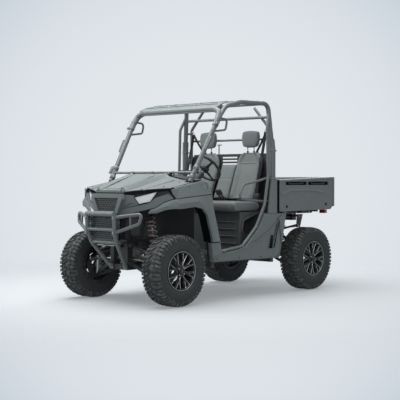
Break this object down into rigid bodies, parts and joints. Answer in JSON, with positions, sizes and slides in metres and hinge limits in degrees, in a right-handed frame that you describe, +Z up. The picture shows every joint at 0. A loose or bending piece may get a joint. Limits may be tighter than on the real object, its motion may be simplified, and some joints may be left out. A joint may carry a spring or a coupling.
{
  "type": "side-by-side utility vehicle",
  "caption": "Off-road utility vehicle with two seats side by side in an open tube cage, a tipping cargo bed, lugged tyres and a tube front bumper.",
  "frame": {"origin": "on the ground, midway between the axles and in the middle of the track", "axes": "+Z up, front of the vehicle towards -Y, its left side towards +X"},
  "size_m": [1.4472, 3.01, 2.073],
  "materials": {
    "grey_panel": "satin",
    "black_plastic": "matt",
    "cage_paint": "satin",
    "frame_paint": "satin",
    "machined_rim": "satin",
    "tyre": "matt",
    "seat_vinyl": "satin",
    "webbing": "woven",
    "lamp_lens": "gloss",
    "red_lens": "gloss",
    "bare_steel": "satin",
    "cast_alloy": "satin"
  },
  "bodies": {
    "root": {"main_frame": "frame_paint", "floor_tub": "black_plastic", "wheel_liners": "black_plastic", "cage_left": "cage_paint", "cage_right": "cage_paint", "cage_crossbars": "cage_paint", "roof_header": "grey_panel", "dashboard": "black_plastic", "pedals": "bare_steel", "front_fascia": "grey_panel", "grille": "black_plastic", "lamp_housings": "black_plastic", "headlamps": "lamp_lens", "fender_left": "grey_panel", "fender_right": "grey_panel", "side_panel_left": "grey_panel", "side_panel_right": "grey_panel", "quarter_panels": "grey_panel", "cab_back": "black_plastic", "seat_cushion": "seat_vinyl", "seat_backs": "seat_vinyl", "headrests": "seat_vinyl", "seat_belts": "webbing", "cab_handles": "cage_paint", "front_bumper": "cage_paint", "radiator": "black_plastic", "winch": "bare_steel", "engine_block": "cast_alloy", "muffler": "bare_steel", "skid_plate": "black_plastic", "drive_shafts": "bare_steel", "front_arms": "frame_paint", "rear_arms": "frame_paint", "front_shocks": "frame_paint", "rear_shocks": "frame_paint", "rear_knuckles": "bare_steel"},
    "hood": {"hood": "grey_panel"},
    "steering_wheel": {"steering_wheel": "black_plastic"},
    "rack": {"tie_rods": "bare_steel"},
    "knuckle_left": {"knuckle_left": "bare_steel"},
    "knuckle_right": {"knuckle_right": "bare_steel"},
    "bed": {"bed": "grey_panel", "tail_lamps": "red_lens"},
    "tailgate": {"tailgate": "grey_panel"},
    "wheel_front_left": {"tyre_front_left": "tyre", "rim_front_left": "machined_rim"},
    "wheel_front_right": {"tyre_front_right": "tyre", "rim_front_right": "machined_rim"},
    "wheel_rear_left": {"tyre_rear_left": "tyre", "rim_rear_left": "machined_rim"},
    "wheel_rear_right": {"tyre_rear_right": "tyre", "rim_rear_right": "machined_rim"}
  },
  "joints": [
    {"name": "steer_left", "type": "hinge", "parent": "root", "child": "knuckle_left", "pos_m": [0.505, -1.065, 0.35], "axis": [0, 0, 1], "range_deg": [-30, 30]},
    {"name": "spin_front_left", "type": "hinge", "parent": "knuckle_left", "child": "wheel_front_left", "pos_m": [0.608, -1.065, 0.35], "axis": [1, 0, 0], "continuous": true},
    {"name": "spin_rear_left", "type": "hinge", "parent": "root", "child": "wheel_rear_left", "pos_m": [0.608, 1.065, 0.35], "axis": [1, 0, 0], "continuous": true},
    {"name": "steer_right", "type": "hinge", "parent": "root", "child": "knuckle_right", "pos_m": [-0.505, -1.065, 0.35], "axis": [0, 0, 1], "range_deg": [-30, 30]},
    {"name": "spin_front_right", "type": "hinge", "parent": "knuckle_right", "child": "wheel_front_right", "pos_m": [-0.608, -1.065, 0.35], "axis": [1, 0, 0], "continuous": true},
    {"name": "spin_rear_right", "type": "hinge", "parent": "root", "child": "wheel_rear_right", "pos_m": [-0.608, 1.065, 0.35], "axis": [1, 0, 0], "continuous": true},
    {"name": "steering_wheel_turn", "type": "hinge", "parent": "root", "child": "steering_wheel", "pos_m": [0.3, -0.27, 1.355], "axis": [0, 0.7552, 0.6555], "range_deg": [-270, 270]},
    {"name": "rack_slide", "type": "slide", "parent": "root", "child": "rack", "axis": [1, 0, 0], "range_m": [-0.0525, 0.0525]},
    {"name": "hood_hinge", "type": "hinge", "parent": "root", "child": "hood", "pos_m": [0, -0.796, 1.297], "axis": [-1, 0, 0], "range_deg": [0, 55]},
    {"name": "bed_tilt", "type": "hinge", "parent": "root", "child": "bed", "pos_m": [0, 1.235, 0.858], "axis": [-1, 0, 0], "range_deg": [0, 40]},
    {"name": "tailgate_hinge", "type": "hinge", "parent": "bed", "child": "tailgate", "pos_m": [0, 1.489, 0.938], "axis": [-1, 0, 0], "range_deg": [0, 90]}
  ],
  "couplings": [
    {"joint": "steer_right", "follows": "steer_left", "ratio": 1},
    {"joint": "steering_wheel_turn", "follows": "steer_left", "ratio": 9},
    {"joint": "rack_slide", "follows": "steer_left", "m_per_rad": 0.1}
  ]
}
